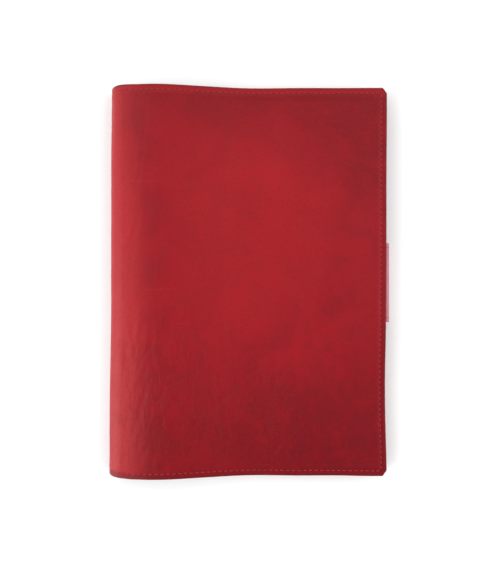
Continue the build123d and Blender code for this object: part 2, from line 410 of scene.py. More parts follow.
def sheet(name, u_lines, v_lines, put, top, bottom, coarse=5, edge_slot=True):
    """A closed sheet: a dense top, a bottom that is coarse except where the spine bends, and a wall
    round the edge. put(u, v, depth) gives places in metres; top and bottom give their depths."""
    rows, columns = len(v_lines), len(u_lines)
    u, v = (a.ravel() for a in np.meshgrid(u_lines, v_lines))
    grid = np.arange(rows * columns).reshape(rows, columns)
    quads = np.stack([grid[:-1, :-1], grid[:-1, 1:], grid[1:, 1:], grid[1:, :-1]], -1)
    faces = quads.reshape(-1, 4).tolist()
    # The bottom: every so many columns and rows, and the same rim as the top.
    rim = rim_of(rows, columns)
    inner = (np.arange(columns) % coarse == 2) | (np.abs(u_lines) < NEAR_SPINE)
    inner[:2] = inner[-2:] = False
    inner_u, inner_v = (a.ravel() for a in np.meshgrid(u_lines[inner], v_lines[2:-2:coarse]))
    under_u = np.concatenate([u[rim], inner_u])
    under_v = np.concatenate([v[rim], inner_v])
    loop = [(i, (i + 1) % len(rim)) for i in range(len(rim))]
    points = [(float(a), float(b)) for a, b in zip(under_u, under_v)]
    made = delaunay_2d_cdt(points, loop, [], 1, 1e-5)
    triangles, origins = made[2], made[3]
    source = [o[0] for o in origins]
    first = rows * columns
    under = [[first + source[i] for i in reversed(t)] for t in triangles]
    wall = [[int(rim[i]), first + i, first + j, int(rim[j])] for i, j in loop]
    all_u = np.concatenate([u, under_u])
    all_v = np.concatenate([v, under_v])
    depth = np.concatenate([top(u, v), bottom(under_u, under_v)])
    verts = put(all_u, all_v, depth)
    flat = np.column_stack([all_u, all_v])
    slots = [0] * (len(faces) + len(under)) + [int(edge_slot)] * len(wall)
    obj = mesh_object(name, verts, faces + under + wall, flat, slots)
    face_outwards(obj)
    return obj


def face_outwards(obj):
    """Turns the mesh the right way out, by the sign of its volume."""
    mesh = obj.data
    mesh.calc_loop_triangles()
    places = np.zeros(len(mesh.vertices) * 3)
    mesh.vertices.foreach_get("co", places)
    corners = np.zeros(len(mesh.loop_triangles) * 3, np.int32)
    mesh.loop_triangles.foreach_get("vertices", corners)
    a, b, c = places.reshape(-1, 3)[corners.reshape(-1, 3)].transpose(1, 0, 2)
    if np.einsum("ij,ij->i", a, np.cross(b, c)).sum() < 0:
        mesh.flip_normals()


# Grid lines at an edge that rounds over, as distances from it.
EDGE_LINES = [0.0, 0.06, 0.18, 0.36, 0.6, 1.0, 1.6]


def lines(low, high, pitch, finer_low=True, finer_high=True):
    """Grid lines at a steady pitch, with extra lines where the sheet rounds over at an edge."""
    first = low + (EDGE_LINES[-1] if finer_low else 0.0)
    last = high - (EDGE_LINES[-1] if finer_high else 0.0)
    body = np.linspace(first, last, max(2, round((last - first) / pitch) + 1))
    start = [low + e for e in EDGE_LINES[:-1]] if finer_low else []
    end = [high - e for e in reversed(EDGE_LINES[:-1])] if finer_high else []
    return np.array([*start, *body, *end])


def spine_lines(end, pitch):
    """Grid lines from the middle of the spine to an end, closer together where the spine bends."""
    near = np.linspace(0, NEAR_SPINE, 20)
    far = np.linspace(NEAR_SPINE, abs(end), round((abs(end) - NEAR_SPINE) / pitch))[1:]
    return np.sort(np.concatenate([near, far]) * math.copysign(1, end))


# A stitch: the gap at each end as a share of its pitch, how full its arch is, how far its ends
# thin out, and its lean across the seam.
STITCH_GAP = 0.03
STITCH_ARCH = 0.55
STITCH_ENDS = 0.62
STITCH_LEAN = 0.06
LEAN_SPREAD = 0.05


def threads(name, rows, put, radius=THREAD_RADIUS, sides=7, steps=9, plunge=0.55):
    """Stitches as short bent tubes. Each row is (start, step, count, face, side), with start and step
    as (u, v), and face(u, v) the depth of the surface that the thread lies on; side is 1 where
    the thread stands out towards smaller depths, and -1 where it stands out the other way."""
    verts, faces, flat = [], [], []
    draw = np.random.default_rng(SEED + len(rows))
    t = np.linspace(0, 1, steps)
    bow = np.sin(np.pi * t) ** STITCH_ARCH
    reach = t * (1 - 2 * STITCH_GAP) + STITCH_GAP
    around = np.linspace(0, 2 * np.pi, sides, endpoint=False)
    base = 0
    for start, step, count, face, side in rows:
        start, step = np.array(start, float), np.array(step, float)
        length = np.hypot(*step)
        across = np.array([-step[1], step[0]]) / length
        for i in range(count):
            lean = draw.normal(0, LEAN_SPREAD) + STITCH_LEAN
            swell = draw.uniform(0.92, 1.06)
            centre = start + (i + reach)[:, None] * step + across * ((t - 0.5) * lean * 3)[:, None]
            stands = (plunge + STITCH_ENDS * radius) * bow
            depth = face(centre[:, 0], centre[:, 1]) + side * (plunge - stands)
            width = radius * swell * (STITCH_ENDS + (1 - STITCH_ENDS) * bow)
            ring_u = centre[:, 0, None] + across[0] * width[:, None] * np.cos(around)
            ring_v = centre[:, 1, None] + across[1] * width[:, None] * np.cos(around)
            ring_d = depth[:, None] - side * width[:, None] * 0.8 * np.sin(around)
            verts.append(put(ring_u.ravel(), ring_v.ravel(), ring_d.ravel()))
            along = np.repeat((t + i) * length, sides)
            flat.append(np.column_stack([along, np.tile(around * radius, steps)]))
            ring = base + np.arange(steps * sides).reshape(steps, sides)
            after = np.roll(ring, -1, axis=1)
            quads = np.stack([ring[:-1], ring[1:], after[1:], after[:-1]], -1).reshape(-1, 4)
            faces += quads.tolist()
            faces += [ring[0].tolist(), ring[-1][::-1].tolist()]
            base += steps * sides
    obj = mesh_object(name, np.concatenate(verts), faces, np.concatenate(flat), sharp=60.0)
    face_outwards(obj)
    return obj


# ---- materials


def new_material(name):
    material = bpy.data.materials.new(name)
    material.use_nodes = True
    tree = material.node_tree
    return material, tree, tree.nodes["Principled BSDF"]


def fill(tree, made, values):
    """Sets or links a node's inputs, by name or number."""
    for key, value in values.items():
        if isinstance(value, bpy.types.NodeSocket):
            tree.links.new(value, made.inputs[key])
        else:
            made.inputs[key].default_value = value


def node(tree, kind, values=(), **settings):
    """A node with its settings, and its inputs set or linked by name or number."""
    made = tree.nodes.new(kind)
    for key, value in settings.items():
        setattr(made, key, value)
    fill(tree, made, dict(values))
    return made


def maths(tree, operation, *values):
    return node(tree, "ShaderNodeMath", enumerate(values), operation=operation).outputs[0]


def times(tree, first, *others):
    for other in others:
        first = maths(tree, "MULTIPLY", first, other)
    return first


def apart(tree, first, second):
    return maths(tree, "ABSOLUTE", maths(tree, "SUBTRACT", first, second))


def flat_map(tree, scale=(1, 1, 1), turn=0.0):
    """The place on the flat sheet, in millimetres, scaled."""
    uv = node(tree, "ShaderNodeUVMap", uv_map="flat").outputs["UV"]
    mapped = node(tree, "ShaderNodeMapping", {"Vector": uv, "Scale": scale, "Rotation": (0, 0, turn)})
    return mapped.outputs["Vector"]


def noise(tree, vector, scale, detail=3.0, roughness=0.55, distortion=0.0):
    values = {"Vector": vector, "Scale": scale, "Detail": detail, "Roughness": roughness}
    values["Distortion"] = distortion
    return node(tree, "ShaderNodeTexNoise", values).outputs["Fac"]


def bands(tree, vector, scale, direction="X", distortion=0.0):
    values = {"Vector": vector, "Scale": scale, "Distortion": distortion, "Detail": 1.0}
    settings = {"wave_type": "BANDS", "bands_direction": direction}
    return node(tree, "ShaderNodeTexWave", values, **settings).outputs["Fac"]


def ramp(tree, value, low, high, to_low=0.0, to_high=1.0):
    values = {"Value": value, "From Min": low, "From Max": high, "To Min": to_low, "To Max": to_high}
    return node(tree, "ShaderNodeMapRange", values, interpolation_type="SMOOTHSTEP").outputs[0]


def mix(tree, share, first, second):
    """The first colour with a share of the second."""
    made = node(tree, "ShaderNodeMix", data_type="RGBA")
    fill(tree, made, {0: share, 6: first, 7: second})
    return made.outputs[2]


def bump(tree, height, strength, distance, under=None):
    values = {"Height": height, "Strength": strength, "Distance": distance * MM}
    if under is not None:
        values["Normal"] = under
    return node(tree, "ShaderNodeBump", values).outputs["Normal"]


AWL_WIDTH = 0.36
AWL_LENGTH = 0.50


def seam_holes(tree, u, v):
    """1 in the awl holes of the seam, 0 elsewhere, for the front's leather."""
    holes = []
    runs = (
        (maths(tree, "ABSOLUTE", v), Y_SEAM, u, 0, PITCH_FRONT, S_SEAM_FRONT, u),
        (u, S_SEAM_FRONT, v, -Y_SEAM, PITCH_FORE, Y_SEAM, maths(tree, "ABSOLUTE", v)),
    )
    for across, at, along, start, pitch, limit, along_limit in runs:
        off = maths(tree, "DIVIDE", apart(tree, across, at), AWL_WIDTH)
        turns = maths(tree, "DIVIDE", maths(tree, "SUBTRACT", along, start), pitch)
        run = times(tree, maths(tree, "PINGPONG", turns, 0.5), pitch)
        run = maths(tree, "DIVIDE", run, AWL_LENGTH)
        spot = maths(tree, "ADD", maths(tree, "POWER", off, 2), maths(tree, "POWER", run, 2))
        inside = maths(tree, "LESS_THAN", along_limit, limit + 0.6)
        holes.append(times(tree, ramp(tree, spot, 0.35, 1.3, 1, 0), inside))
    return maths(tree, "MAXIMUM", *holes)


def stroke(tree, u, v, start, length, at, width, slope):
    """1 on a thin, nearly level scratch of the flat sheet."""
    off = apart(tree, v, maths(tree, "MULTIPLY_ADD", u, slope, at - slope * start))
    thin = ramp(tree, off, 0, width, 1, 0)
    reach = apart(tree, u, start + length / 2)
    return times(tree, thin, ramp(tree, reach, length * 0.3, length * 0.5, 1, 0))


RED_DEEP = (0.158, 0.003, 0.0072, 1)
RED_MAIN = (0.318, 0.0068, 0.0125, 1)
RED_LIGHT = (0.375, 0.0105, 0.016, 1)
# A lighter red for painted highlights, along the spine and on the head's margin.
RED_HIGHLIGHT = (0.435, 0.014, 0.019, 1)
RED_WORN = (0.5, 0.055, 0.052, 1)
RED_EDGE = (0.13, 0.005, 0.009, 1)
EDGE_LIGHT = (0.24, 0.014, 0.02, 1)
# Painted shade for the awl holes.
HOLE_SHADE = (0.03, 0.002, 0.004, 1)
POCKET_DEEP = (0.2, 0.0065, 0.011, 1)
POCKET_LIGHT = (0.3, 0.0105, 0.0165, 1)
CLOTH_DEEP = (0.07, 0.0045, 0.0075, 1)
CLOTH_LIGHT = (0.19, 0.014, 0.02, 1)
CLOTH_WORN = (0.22, 0.018, 0.024, 1)
THREAD_DEEP = (0.3, 0.012, 0.016, 1)
THREAD_LIGHT = (0.49, 0.03, 0.033, 1)
THREAD_FUZZ = (0.53, 0.052, 0.05, 1)
# The strap's pink is painted sheen: red leather as it looks reflecting the bright room at its bend.
LOOP_SHEEN_DEEP = (0.64, 0.18, 0.24, 1)
LOOP_SHEEN_LIGHT = (0.84, 0.3, 0.36, 1)
# Painted shade on the strap's turned-over bend.
LOOP_BEND_SHADE = (0.34, 0.08, 0.115, 1)

# Soft darker patches on the front, the two by the tail painted shade: middle, reach both ways, turn, and
# share.
DEEP_PATCHES = (
    ((148, 92), (40, 64), 0.35, 0.5),
    ((140, -104), (84, 66), 0, 0.7),
    ((168, -10), (50, 110), 0, 0.28),
    ((114, -2), (42, 42), 0, 0.16),
    ((130, -108), (62, 28), 0.1, 0.8),
)
# Streaks of handling creases, along the spine in the tail half and slanting beside it, raised in the bump
# and darkened as painted shade: how far they are drawn out, their turn, their scale, and the middle and
# reach of their patch.
HANDLING = (
    (0.24, 0, 0.46, (42, -72), (46, 62)),
    (0.28, math.radians(-34), 0.42, (96, -76), (36, 40)),
)
# Fine scratches: start, length, height on the sheet, width, and slope.
SCRATCHES = ((16, 28, -4.6, 0.24, 0.01), (9, 24, 56.6, 0.22, -0.02), (40, 10, -23.8, 0.22, 0.03))


def patch(tree, u, v, at, reach, turn=0.0):
    """1 in the middle of a soft oval patch of the flat sheet, 0 outside it."""
    lean, rising = math.cos(turn), math.sin(turn)
    du = maths(tree, "SUBTRACT", u, at[0])
    dv = maths(tree, "SUBTRACT", v, at[1])
    along = times(tree, dv, rising / reach[0])
    along = maths(tree, "MULTIPLY_ADD", du, lean / reach[0], along)
    across = times(tree, du, -rising / reach[1])
    across = maths(tree, "MULTIPLY_ADD", dv, lean / reach[1], across)
    square = maths(tree, "ADD", maths(tree, "POWER", along, 2), maths(tree, "POWER", across, 2))
    return ramp(tree, square, 0, 1, 1, 0)


def dye_and_painted_light(tree, u, v, mottle):
    """Cloudy dye, darker towards the head and in soft patches, lighter over the middle, with painted
    shade towards the tail and a painted highlight along the spine.
    """
    cloud = noise(tree, flat_map(tree), 0.012, 2, 0.5, 0.3)
    drift = noise(tree, flat_map(tree), 0.036, 4, 0.55, 0.6)
    colour = mix(tree, ramp(tree, cloud, 0.3, 0.7, 0.2, 0), RED_MAIN, RED_DEEP)
    colour = mix(tree, ramp(tree, drift, 0.36, 0.62, 0.3, 0), colour, RED_DEEP)
    # Painted shade towards the tail, and darker towards the head, along a wavering line.
    wander = times(tree, maths(tree, "SUBTRACT", mottle, 0.5), 24)
    loose_v = maths(tree, "ADD", v, wander)
    colour = mix(tree, ramp(tree, loose_v, -104, -14, 0.6, 0), colour, RED_DEEP)
    colour = mix(tree, ramp(tree, loose_v, 60, 112, 0, 0.42), colour, RED_DEEP)
    # Soft darker patches; the two by the tail are painted shade.
    for at, reach, turn, share in DEEP_PATCHES:
        deeper = times(tree, patch(tree, u, v, at, reach, turn), share)
        colour = mix(tree, deeper, colour, RED_DEEP)
    middle = times(tree, patch(tree, u, v, (84, 32), (62, 74)), 0.42)
    colour = mix(tree, middle, colour, RED_LIGHT)
    # The painted highlight along the spine's curve narrows towards the head, and fades under the cover.
    narrowed = maths(tree, "ADD", u, ramp(tree, v, 25, 100, 0, 9))
    by_spine = ramp(tree, narrowed, 8, 30, 0.8, 0)
    by_spine = times(tree, by_spine, ramp(tree, u, -6, 5, 0.25, 1))
    return mix(tree, by_spine, colour, RED_HIGHLIGHT)


def grained(tree, u, v, colour, mottle, speck):
    """The fine unevenness of the dye, calmer by the tail's fore-edge corner."""
    colour = mix(tree, ramp(tree, mottle, 0.4, 0.72, 0, 0.24), colour, RED_LIGHT)
    colour = mix(tree, ramp(tree, mottle, 0.28, 0.5, 0.14, 0), colour, RED_DEEP)
    calm = ramp(tree, patch(tree, u, v, (146, -84), (50, 50)), 0, 0.8, 1, 0.2)
    dark = times(tree, ramp(tree, speck, 0.46, 0.74, 0, 0.26), calm)
    colour = mix(tree, dark, colour, RED_DEEP)
    fibres = noise(tree, flat_map(tree, (0.3, 1, 1)), 0.95, 4, 0.6)
    light = times(tree, ramp(tree, fibres, 0.46, 0.74, 0, 0.24), calm)
    return mix(tree, light, colour, RED_LIGHT)


def handled(tree, u, v):
    """Where the streaks of handling lie."""
    streaks = []
    for drawn_out, turn, scale, at, reach in HANDLING:
        lines_on = flat_map(tree, (1, drawn_out, 1), turn)
        streak = ramp(tree, noise(tree, lines_on, scale, 5, 0.62, 0.8), 0.44, 0.66)
        streaks.append(times(tree, streak, patch(tree, u, v, at, reach)))
    return maths(tree, "ADD", *streaks)


def margin_with_painted_light(tree, u, v, colour, mottle):
    """The band outside the seam: a painted highlight along the head, painted shade towards the tail,
    darker edge paint towards the cut edge, its edge rubbed in places, and painted shade in a shallow
    hollow inside the seam along the head."""
    from_fore = maths(tree, "SUBTRACT", S_FRONT, maths(tree, "ABSOLUTE", u))
    from_head = maths(tree, "SUBTRACT", HALF_Y, maths(tree, "ABSOLUTE", v))
    margin = maths(tree, "MINIMUM", from_fore, from_head)
    band = ramp(tree, margin, SEAM_INSET - 0.25, SEAM_INSET + 0.35, 1, 0)
    # Painted highlight along the head's margin.
    head_highlight = times(tree, band, ramp(tree, v, 105, 108, 0, 0.42))
    colour = mix(tree, head_highlight, colour, RED_HIGHLIGHT)
    # Painted shade on the margin towards the tail.
    tail_shade = times(tree, band, ramp(tree, v, 60, -70, 0.1, 0.62))
    colour = mix(tree, tail_shade, colour, RED_DEEP)
    # Painted shade in the shallow dip inside the seam along the head.
    hollow = ramp(tree, v, Y_SEAM - 6.5, Y_SEAM - 1.2)
    hollow = times(tree, hollow, ramp(tree, u, 40, 120, 0, 0.42), ramp(tree, u, 143, 154, 1, 0))
    hollow = times(tree, hollow, maths(tree, "GREATER_THAN", margin, SEAM_INSET + 0.3))
    colour = mix(tree, hollow, colour, RED_DEEP)
    colour = mix(tree, ramp(tree, margin, 0.1, 2, 0.8, 0), colour, RED_EDGE)
    rub = times(tree, ramp(tree, margin, 0.7, 1.5, 0.12, 0), ramp(tree, mottle, 0.4, 0.6))
    return mix(tree, rub, colour, RED_WORN)


def scratched(tree, u, v):
    """Where the fine scratches lie."""
    total = 0.0
    for scratch in SCRATCHES:
        total = maths(tree, "MAXIMUM", total, stroke(tree, u, v, *scratch))
    return total


def cover_leather():
    """Smooth waxed leather: red with soft darker dye, fine grain, pressed margins, awl holes."""
    material, tree, shader = new_material("cover_leather")
    flat = node(tree, "ShaderNodeSeparateXYZ", {0: flat_map(tree)})
    u, v = flat.outputs["X"], flat.outputs["Y"]
    mottle = noise(tree, flat_map(tree), 0.085, 6, 0.65, 0.4)
    speck = noise(tree, flat_map(tree), 0.5, 4, 0.6)
    streaks = handled(tree, u, v)
    colour = grained(tree, u, v, dye_and_painted_light(tree, u, v, mottle), mottle, speck)
    # The crease streaks darkened, as painted shade in the creases.
    colour = mix(tree, times(tree, streaks, 0.3), colour, RED_DEEP)
    colour = margin_with_painted_light(tree, u, v, colour, mottle)
    colour = mix(tree, times(tree, scratched(tree, u, v), 0.22), colour, RED_WORN)
    # Painted shade in the awl holes of the seam.
    colour = mix(tree, times(tree, seam_holes(tree, u, v), 0.5), colour, HOLE_SHADE)
    gloss = ramp(tree, mottle, 0.3, 0.7, 0.05, -0.04)
    gloss = maths(tree, "ADD", gloss, ramp(tree, speck, 0.3, 0.7, -0.03, 0.04))
    pores = node(tree, "ShaderNodeTexVoronoi", {"Vector": flat_map(tree), "Scale": 1.25}, feature="F1")
    fine = noise(tree, flat_map(tree, (0.7, 1.2, 1)), 1.3, 5, 0.65)
    normal = bump(tree, pores.outputs["Distance"], 0.3, 0.1)
    normal = bump(tree, fine, 0.26, 0.1, normal)
    normal = bump(tree, streaks, 0.4, -0.14, normal)
    normal = bump(tree, mottle, 0.25, 0.3, normal)
    rough = maths(tree, "ADD", gloss, 0.42)
    looks = {"Base Color": colour, "Roughness": rough, "Specular IOR Level": 0.22, "Normal": normal}
    fill(tree, shader, looks)
    return material


def plain_leather(name, deep, light, rough, grain_scale, coat=0.0, bend_shade=None):
    """Leather for the pockets, the cut edges and the strap. A bend_shade is (middle, reach, colour):
    painted shade where the leather is turned over, with the first two as places along it."""
    material, tree, shader = new_material(name)
    place_on = flat_map(tree)
    mottle = noise(tree, place_on, 0.09, 6, 0.62, 0.5)
    pores = noise(tree, place_on, grain_scale, 4, 0.6)
    colour = mix(tree, ramp(tree, mottle, 0.25, 0.78), deep, light)
    colour = mix(tree, ramp(tree, pores, 0.52, 0.8, 0, 0.35), colour, deep)
    if bend_shade:
        middle, reach, bend_shade_colour = bend_shade
        along = node(tree, "ShaderNodeSeparateXYZ", {0: place_on}).outputs["X"]
        off = apart(tree, along, middle)
        # Painted shade on the turned-over bend.
        colour = mix(tree, ramp(tree, off, reach * 0.5, reach, 0.85, 0), colour, bend_shade_colour)
    grain = node(tree, "ShaderNodeTexVoronoi", {"Vector": place_on, "Scale": grain_scale}, feature="F1")
    normal = bump(tree, grain.outputs["Distance"], 0.3, 0.1)
    normal = bump(tree, mottle, 0.3, 0.25, normal)
    uneven = ramp(tree, pores, 0.3, 0.7, rough - 0.05, rough + 0.06)
    fill(tree, shader, {"Base Color": colour, "Roughness": uneven, "Normal": normal})
    fill(tree, shader, {"Specular IOR Level": 0.3, "Coat Weight": coat, "Coat Roughness": 0.2})
    return material


def lining_cloth():
    """A fine twill, a little lighter where its threads cross over."""
    material, tree, shader = new_material("lining_cloth")
    warp = bands(tree, flat_map(tree, turn=math.radians(45)), 0.62, "X", 0.25)
    weft = bands(tree, flat_map(tree), 0.9, "Y", 0.2)
    weave = maths(tree, "MULTIPLY_ADD", warp, 0.65, times(tree, weft, 0.35))
    uneven = noise(tree, flat_map(tree), 0.08, 4, 0.6)
    colour = mix(tree, weave, CLOTH_DEEP, CLOTH_LIGHT)
    colour = mix(tree, ramp(tree, uneven, 0.35, 0.7, 0, 0.4), colour, CLOTH_WORN)
    fill(tree, shader, {"Base Color": colour, "Normal": bump(tree, weave, 0.6, 0.12)})
    fill(tree, shader, {"Roughness": 0.82, "Specular IOR Level": 0.2, "Sheen Weight": 0.08})
    return material


def waxed_thread():
    """Twisted two-ply thread."""
    material, tree, shader = new_material("waxed_thread")
    twist = bands(tree, flat_map(tree, turn=math.radians(38)), 0.55)
    fuzz = noise(tree, flat_map(tree), 3, 3, 0.6)
    colour = mix(tree, twist, THREAD_DEEP, THREAD_LIGHT)
    colour = mix(tree, ramp(tree, fuzz, 0.4, 0.7, 0, 0.3), colour, THREAD_FUZZ)
    fill(tree, shader, {"Base Color": colour, "Normal": bump(tree, twist, 0.5, 0.08)})
    fill(tree, shader, {"Roughness": 0.6, "Specular IOR Level": 0.15})
    return material


LEATHER_FACE = cover_leather()
LEATHER_EDGE = plain_leather("edge_paint", RED_EDGE, EDGE_LIGHT, 0.45, 2.0)
POCKET_LEATHER = plain_leather("pocket_leather", POCKET_DEEP, POCKET_LIGHT, 0.46, 1.5)
LINING_CLOTH = lining_cloth()
THREAD = waxed_thread()


def dress(obj, *materials):
    for material in materials:
        obj.data.materials.append(material)
    return obj


# ---- halves of the cover

# How far past the lining's inner face the point at the middle of the spine lies, in millimetres.
SPINE_SHIFT = 1.35


def middle_of_spine():
    """The innermost point that either half reaches at the middle of the spine, in metres."""
    x, z, inward_x, inward_z = (float(value) for value in section(0.0))
    reach = INSIDE + SPINE_SHIFT
    return np.array([x + inward_x * reach, 0.0, z + inward_z * reach]) * MM


def front_half(obj):
    """Bakes the transform of a piece of the front half, between the middle of the spine and the front
    cover.
    """
    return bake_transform(obj)


def back_half(obj):
    """Bakes the transform of a piece of the back half, between the back cover and the middle of the
    spine.
    """
    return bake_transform(obj)


# ---- outer leather

Y_LINES = lines(-HALF_Y, HALF_Y, PITCH_FORE / 4)
FRONT_LINES = lines(0.0, S_FRONT, PITCH_FRONT / 4, finer_low=False)
BACK_LINES = lines(S_BACK, 0.0, PITCH_BACK / 4, finer_high=False)

for name, s_lines, half, nodes in (
    ("front_leather", FRONT_LINES, front_half, ["front_panel"]),
    ("back_leather", BACK_LINES, back_half, ["back_panel", "spine_panel"]),
):
    leather = sheet(name, s_lines, Y_LINES, place, leather_face, leather_back)
    dress(leather, LEATHER_FACE, LEATHER_EDGE)
    half(leather)
    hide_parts(*nodes)

# ---- lining

LINING_INSET = 0.35


def lining_top(s, y):
    return np.full_like(s, LEATHER)


def lining_face(s, y):
    return INSIDE - 0.03 - 0.02 * ripple(s, y, 5, 6, 11)


LINING_Y = np.linspace(-HALF_Y + LINING_INSET, HALF_Y - LINING_INSET, 90)
for label, end, half, nodes in (
    ("front", S_FRONT, front_half, ["front_lining"]),
    ("back", S_BACK, back_half, ["back_lining", "spine_lining"]),
):
    reach = abs(end) - LINING_INSET
    s_lines = spine_lines(math.copysign(reach, end), 2.4)
    cloth = sheet(f"{label}_lining_cloth", s_lines, LINING_Y, place, lining_face, lining_top,
                  coarse=3, edge_slot=False)
    dress(cloth, LINING_CLOTH)
    half(cloth)
    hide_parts(*nodes)

# ---- pockets

FRONT_SAG = 0.25
BACK_SAG = 0.9
SAG_REACH = 22.0
HEM_SEAM = 3.0
POCKET_INSET = 0.15
POCKET_GRID = 1.4


def pocket_edge(s, y, mouth):
    """Distance to the nearest edge of a pocket, its mouth included."""
    return np.minimum(edge_distance(s, y), np.abs(s - mouth))


def pocket_seam(s, y, end):
    """How far a pocket's inner face is drawn out along its seams."""
    limit = abs(end) - SEAM_INSET
    off = np.minimum(np.abs(np.abs(y) - Y_SEAM), np.abs(np.abs(s) - limit))
    return 0.16 * hump(off, 0.8)


def pocket_sag(s, y, sag):
    """How far a pocket hangs towards the lining, inside its sewn edges."""
    return sag * rise(edge_distance(s, y), HEM, HEM + SAG_REACH)


def make_pocket(name, mouth, s_end, stack, sag):
    """The pocket's leather, hanging towards the lining inside its sewn edges."""
    end = s_end - math.copysign(POCKET_INSET, s_end)

    def face(s, y):
        hangs = pocket_sag(s, y, sag)
        hem = 0.10 * hump(np.abs(s - mouth) - HEM_SEAM, 0.8)
        uneven = 0.03 * ripple(s, y, 18, 6, 21) * (hangs > 0)
        roll = edge_roll(pocket_edge(s, y, mouth), 0.4)
        return stack - 0.04 - hangs - pocket_seam(s, y, end) - hem - roll + uneven

    def under(s, y):
        return stack - POCKET - pocket_sag(s, y, sag)

    v_lines = lines(-HALF_Y + POCKET_INSET, HALF_Y - POCKET_INSET, POCKET_GRID)
    u_lines = lines(min(mouth, end), max(mouth, end), POCKET_GRID)
    obj = sheet(name, u_lines, v_lines, place, face, under)
    dress(obj, POCKET_LEATHER, LEATHER_EDGE)
    return obj


front_pocket = make_pocket("front_pocket_leather", S_FRONT_MOUTH, S_FRONT, FRONT_STACK, FRONT_SAG)
back_pocket = make_pocket("back_pocket_leather", S_BACK_MOUTH, S_BACK, BACK_STACK, BACK_SAG)

TURNED_INSET = 0.2
TURNED_GRID = 2.5


def make_turned_edge(name, s_mouth, s_end, stack, gap_half=0.0):
    """The pocket's edge turned under on three sides, which holds it off the lining. The gap half way
    along the fore-edge leaves room for the strap."""
    end = s_end - math.copysign(TURNED_INSET, s_end)
    inner = s_end - math.copysign(HEM, s_end)
    outer_y, inner_y = HALF_Y - TURNED_INSET, HALF_Y - HEM

    def upper(s, y):
        return np.full_like(s, stack - POCKET + 0.02)

    def lower(s, y):
        return np.full_like(s, INSIDE - 0.02)

    bars = [((s_mouth, end), (inner_y, outer_y)), ((s_mouth, end), (-outer_y, -inner_y))]
    if gap_half:
        bars += [((inner, end), (-inner_y, -gap_half)), ((inner, end), (gap_half, inner_y))]
    else:
        bars.append(((inner, end), (-inner_y, inner_y)))
    pieces = []
    for i, ((a, b), (low, high)) in enumerate(bars):
        u_lines = np.linspace(min(a, b), max(a, b), max(4, int(abs(b - a) / TURNED_GRID)))
        v_lines = np.linspace(low, high, max(4, int((high - low) / TURNED_GRID)))
        bar = sheet(f"{name}_{i}", u_lines, v_lines, place, upper, lower, coarse=2, edge_slot=False)
        pieces.append(bar)
    joined = pieces[0]
    with bpy.context.temp_override(active_object=joined, selected_editable_objects=pieces):
        bpy.ops.object.join()
    joined.name = name
    dress(joined, POCKET_LEATHER)
    return joined


front_edge = make_turned_edge("front_pocket_turned_edge", S_FRONT_MOUTH, S_FRONT, FRONT_STACK)
back_edge = make_turned_edge("back_pocket_turned_edge", S_BACK_MOUTH, S_BACK, BACK_STACK,
                             LOOP_HALF_WIDTH + 0.3)
for pieces_of_pocket, node_name, body in (
    ((front_pocket, front_edge), "front_pocket", "front_cover"),
    ((back_pocket, back_edge), "back_pocket", "back_cover"),
):
    for piece in pieces_of_pocket:
        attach(piece, body)
        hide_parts(node_name)

# ---- perimeter seams

# For the front (1) and the back (-1): the seam's end, its pitch, the depth of the pocket's inner
# face, the pocket's mouth and its sag.
SIDES = {
    1: (S_SEAM_FRONT, PITCH_FRONT, FRONT_STACK, S_FRONT_MOUTH, FRONT_SAG),
    -1: (S_SEAM_BACK, PITCH_BACK, BACK_STACK, S_BACK_MOUTH, BACK_SAG),
}
FORE_STITCHES = round(2 * Y_SEAM / PITCH_FORE)
THREAD_SUNK = 0.10


def outer_rows(side):
    """Rows of the perimeter seam on the outer face of the front (side 1) or the back (-1)."""
    limit, pitch = SIDES[side][:2]
    rows = []
    for y in (Y_SEAM, -Y_SEAM):
        rows.append(((0.0, y), (side * pitch, 0.0), round(limit / pitch), seam_relief, 1))
    rows.append(((side * limit, -Y_SEAM), (0.0, PITCH_FORE), FORE_STITCHES, seam_relief, 1))
    return rows


def inner_rows(side):
    """The same seam as it shows inside: on the lining by the spine, then on the pocket."""
    limit, pitch, stack, mouth = SIDES[side][:4]
    before = int(abs(mouth) / pitch)

    def on_pocket(s, y):
        return np.full_like(s, stack - THREAD_SUNK)

    def on_lining(s, y):
        return np.full_like(s, INSIDE - 0.06)

    cloth_rows, pocket_rows = [], []
    for y in (Y_SEAM, -Y_SEAM):
        cloth_rows.append(((0.0, y), (side * pitch, 0.0), before, on_lining, -1))
        start = (side * pitch * (before + 1), y)
        pocket_rows.append((start, (side * pitch, 0.0), round(limit / pitch) - before - 1, on_pocket, -1))
    pocket_rows.append(((side * limit, -Y_SEAM), (0.0, PITCH_FORE), FORE_STITCHES, on_pocket, -1))
    return cloth_rows, pocket_rows


for side, label, half, body, nodes in (
    (1, "front", front_half, "front_cover", ["front_stitching"]),
    (-1, "back", back_half, "back_cover", ["back_stitching", "spine_stitching"]),
):
    outside = dress(threads(f"{label}_seam", outer_rows(side), place), THREAD)
    cloth_rows, pocket_rows = inner_rows(side)
    by_spine = dress(threads(f"{label}_seam_on_lining", cloth_rows, place, plunge=0.3), THREAD)
    on_pocket = dress(threads(f"{label}_seam_on_pocket", pocket_rows, place, plunge=0.4), THREAD)
    half(outside)
    half(by_spine)
    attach(on_pocket, body)
    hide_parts(*nodes)

# ---- pocket hems

HEM_STITCHES = 69


